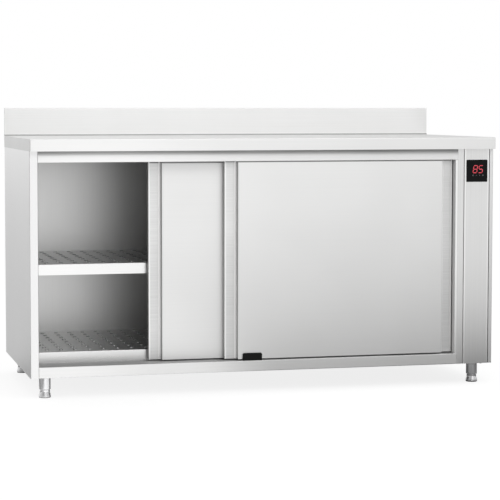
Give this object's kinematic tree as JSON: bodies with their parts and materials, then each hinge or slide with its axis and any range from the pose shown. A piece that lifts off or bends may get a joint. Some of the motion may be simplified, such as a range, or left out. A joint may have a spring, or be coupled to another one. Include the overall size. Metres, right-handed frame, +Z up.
{
  "type": "hot cupboard",
  "caption": "Free-standing stainless steel hot cupboard with worktop and upstand, overlapping sliding doors, perforated shelves, a touch control column and levelling feet.",
  "frame": {"origin": "centre of the footprint on the ground, under the middle of the worktop", "axes": "+X to the right as seen from the front, +Y to the back, +Z up"},
  "size_m": [1.6, 0.7, 0.95],
  "materials": {
    "worktop_steel": "fine brushed stainless steel",
    "body_steel": "fine brushed stainless steel",
    "liner_steel": "mill-finish stainless steel",
    "hidden_steel": "plain sheet steel",
    "shelf_steel": "fine brushed stainless steel",
    "insulation": "mineral wool board",
    "door_steel": "fine brushed stainless steel",
    "track_steel": "plain steel",
    "screw_steel": "bright steel",
    "stop_rubber": "black rubber",
    "black_plastic": "matt black",
    "touch_glass": "gloss black glass",
    "board_green": "coated board",
    "white_plastic": "off-white",
    "fan_aluminium": "bare aluminium",
    "motor_metal": "dark grey",
    "heater_steel": "heat-dulled steel",
    "leg_chrome": "polished stainless steel",
    "roller_steel": "turned stainless steel"
  },
  "bodies": {
    "cabinet": {"worktop": "worktop_steel", "worktop_braces": "hidden_steel", "left_side_skin": "body_steel", "left_side_liner": "liner_steel", "left_side_insulation": "insulation", "right_side_skin": "body_steel", "right_post": "body_steel", "divider_liner": "liner_steel", "divider_insulation": "insulation", "divider_panel": "hidden_steel", "back_skin": "hidden_steel", "back_liner": "liner_steel", "back_insulation": "insulation", "back_screws": "screw_steel", "base_skin": "hidden_steel", "floor_pan": "body_steel", "base_insulation": "insulation", "ceiling_liner": "liner_steel", "ceiling_insulation": "insulation", "top_rail": "worktop_steel", "door_track": "track_steel", "door_stops": "stop_rubber", "floor_guide": "black_plastic", "base_shelf": "shelf_steel", "mid_shelf": "shelf_steel", "shelf_brackets": "hidden_steel", "service_panel": "worktop_steel", "service_panel_screws": "screw_steel", "controller_glass": "touch_glass", "controller_housing": "black_plastic", "relay_board": "board_green", "terminal_block": "white_plastic", "wiring_loom": "black_plastic", "cable_gland": "black_plastic", "air_box": "hidden_steel", "inlet_grille": "hidden_steel", "fan_motor": "motor_metal", "heater_element": "heater_steel", "thermal_cutout": "white_plastic", "temperature_probe": "heater_steel", "leg_sleeves": "leg_chrome"},
    "left_door": {"left_door_skin": "door_steel", "left_door_pan": "door_steel", "left_door_core": "insulation", "left_door_hangers": "track_steel", "left_door_axles": "track_steel"},
    "right_door": {"right_door_skin": "door_steel", "right_door_pan": "door_steel", "right_door_core": "insulation", "right_door_hangers": "track_steel", "right_door_axles": "track_steel"},
    "fan": {"fan_impeller": "fan_aluminium"},
    "left_door_roller_a": {"left_door_roller_a": "roller_steel"},
    "left_door_roller_b": {"left_door_roller_b": "roller_steel"},
    "right_door_roller_a": {"right_door_roller_a": "roller_steel"},
    "right_door_roller_b": {"right_door_roller_b": "roller_steel"},
    "front_left_foot": {"front_left_foot": "leg_chrome"},
    "front_right_foot": {"front_right_foot": "leg_chrome"},
    "rear_left_foot": {"rear_left_foot": "leg_chrome"},
    "rear_right_foot": {"rear_right_foot": "leg_chrome"}
  },
  "joints": [
    {"name": "left_door_slide", "type": "slide", "parent": "cabinet", "child": "left_door", "axis": [1, 0, 0], "range_m": [-0.374, 0.25]},
    {"name": "right_door_slide", "type": "slide", "parent": "cabinet", "child": "right_door", "axis": [1, 0, 0], "range_m": [-0.624, 0]},
    {"name": "fan_spin", "type": "hinge", "parent": "cabinet", "child": "fan", "pos_m": [0.716, 0.043, 0.268], "axis": [1, 0, 0], "continuous": true},
    {"name": "left_door_roller_a_spin", "type": "hinge", "parent": "left_door", "child": "left_door_roller_a", "pos_m": [-0.275, -0.263, 0.8103], "axis": [0, 1, 0], "continuous": true},
    {"name": "left_door_roller_b_spin", "type": "hinge", "parent": "left_door", "child": "left_door_roller_b", "pos_m": [0.291, -0.263, 0.8103], "axis": [0, 1, 0], "continuous": true},
    {"name": "right_door_roller_a_spin", "type": "hinge", "parent": "right_door", "child": "right_door_roller_a", "pos_m": [-0.025, -0.307, 0.8103], "axis": [0, 1, 0], "continuous": true},
    {"name": "right_door_roller_b_spin", "type": "hinge", "parent": "right_door", "child": "right_door_roller_b", "pos_m": [0.541, -0.307, 0.8103], "axis": [0, 1, 0], "continuous": true},
    {"name": "front_left_foot_screw", "type": "slide", "parent": "cabinet", "child": "front_left_foot", "axis": [0, 0, 1], "range_m": [-0.03, 0]},
    {"name": "front_right_foot_screw", "type": "slide", "parent": "cabinet", "child": "front_right_foot", "axis": [0, 0, 1], "range_m": [-0.03, 0]},
    {"name": "rear_left_foot_screw", "type": "slide", "parent": "cabinet", "child": "rear_left_foot", "axis": [0, 0, 1], "range_m": [-0.03, 0]},
    {"name": "rear_right_foot_screw", "type": "slide", "parent": "cabinet", "child": "rear_right_foot", "axis": [0, 0, 1], "range_m": [-0.03, 0]}
  ],
  "couplings": [
    {"joint": "left_door_roller_a_spin", "follows": "left_door_slide", "rad_per_m": 100},
    {"joint": "left_door_roller_b_spin", "follows": "left_door_slide", "rad_per_m": 100},
    {"joint": "right_door_roller_a_spin", "follows": "right_door_slide", "rad_per_m": 100},
    {"joint": "right_door_roller_b_spin", "follows": "right_door_slide", "rad_per_m": 100}
  ]
}
